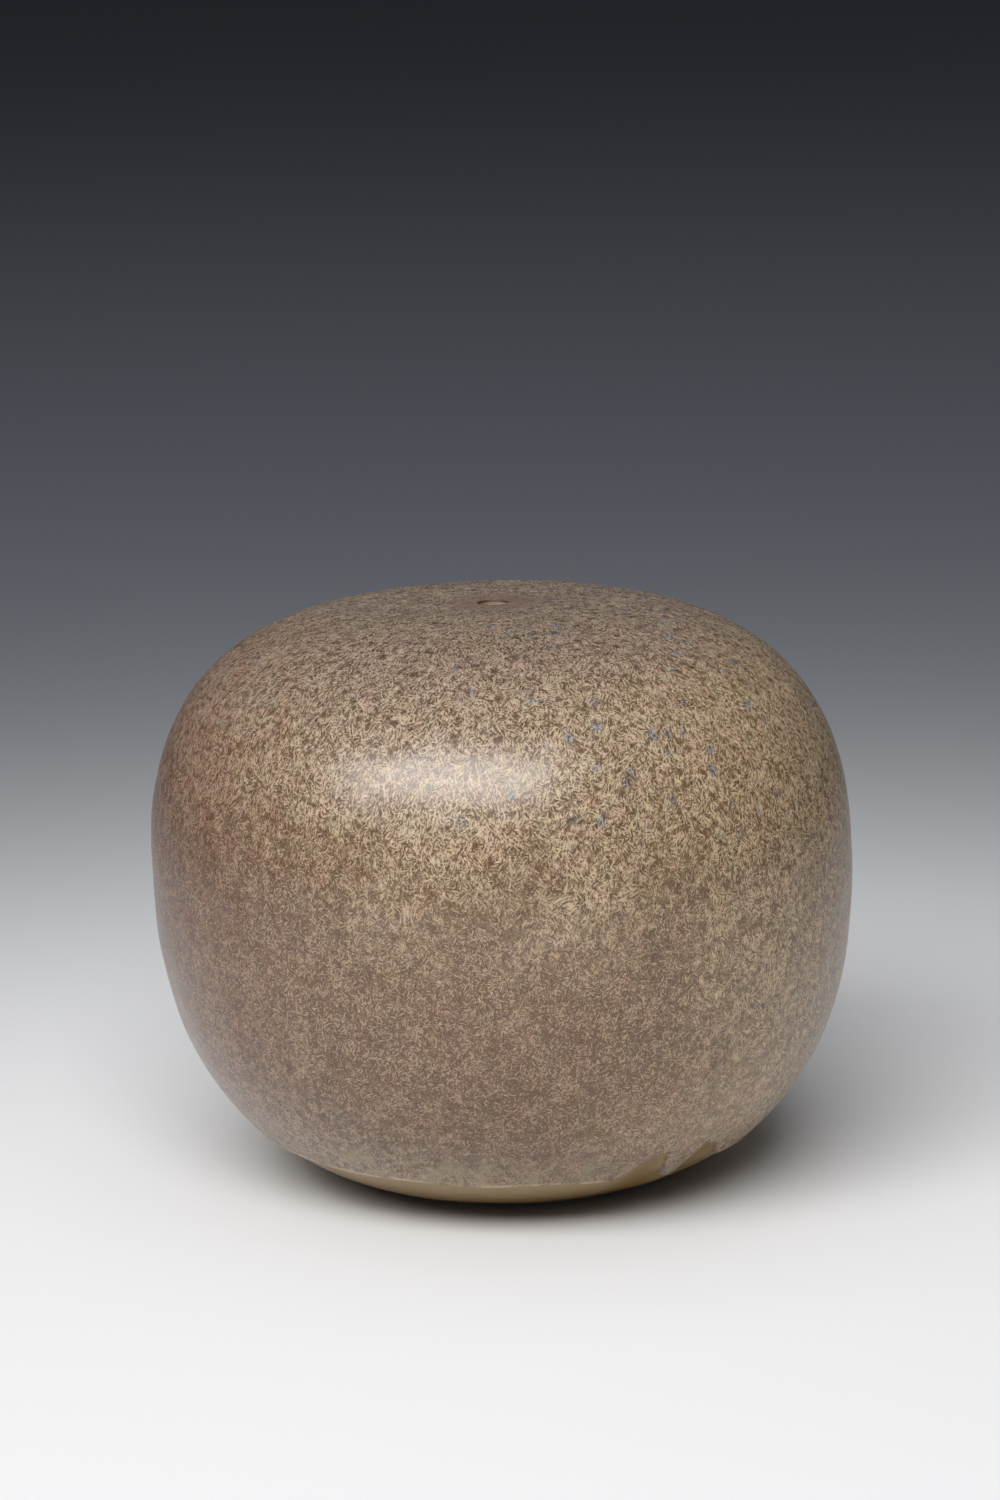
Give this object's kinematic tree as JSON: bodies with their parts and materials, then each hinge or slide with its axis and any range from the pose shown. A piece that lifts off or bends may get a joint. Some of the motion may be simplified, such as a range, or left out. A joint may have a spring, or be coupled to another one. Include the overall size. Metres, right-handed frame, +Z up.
{
  "type": "bud vase",
  "caption": "Squat globe-shaped stoneware bud vase with a small stem hole in its crown, a speckled crystalline glaze that stops in a rolled run line with a drip, and a trimmed foot.",
  "frame": {"origin": "on the table under the middle of the belly", "axes": "+Z up through the crown, -Y the pictured front, +X to the right of the front"},
  "size_m": [0.16, 0.16, 0.1317],
  "materials": {
    "stoneware_clay": "bare fired stoneware, matt, fine grog",
    "base_glaze": "smooth thin olive-buff glaze, semi-gloss",
    "crystal_glaze": "satin brown glaze crowded with small tan needle crystals and a few blue-grey specks",
    "liner_glaze": "smooth semi-gloss liner glaze"
  },
  "bodies": {
    "root": {"stoneware_body": "stoneware_clay", "base_glaze": "base_glaze", "crystal_glaze": "crystal_glaze", "liner_glaze": "liner_glaze"}
  },
  "joints": []
}
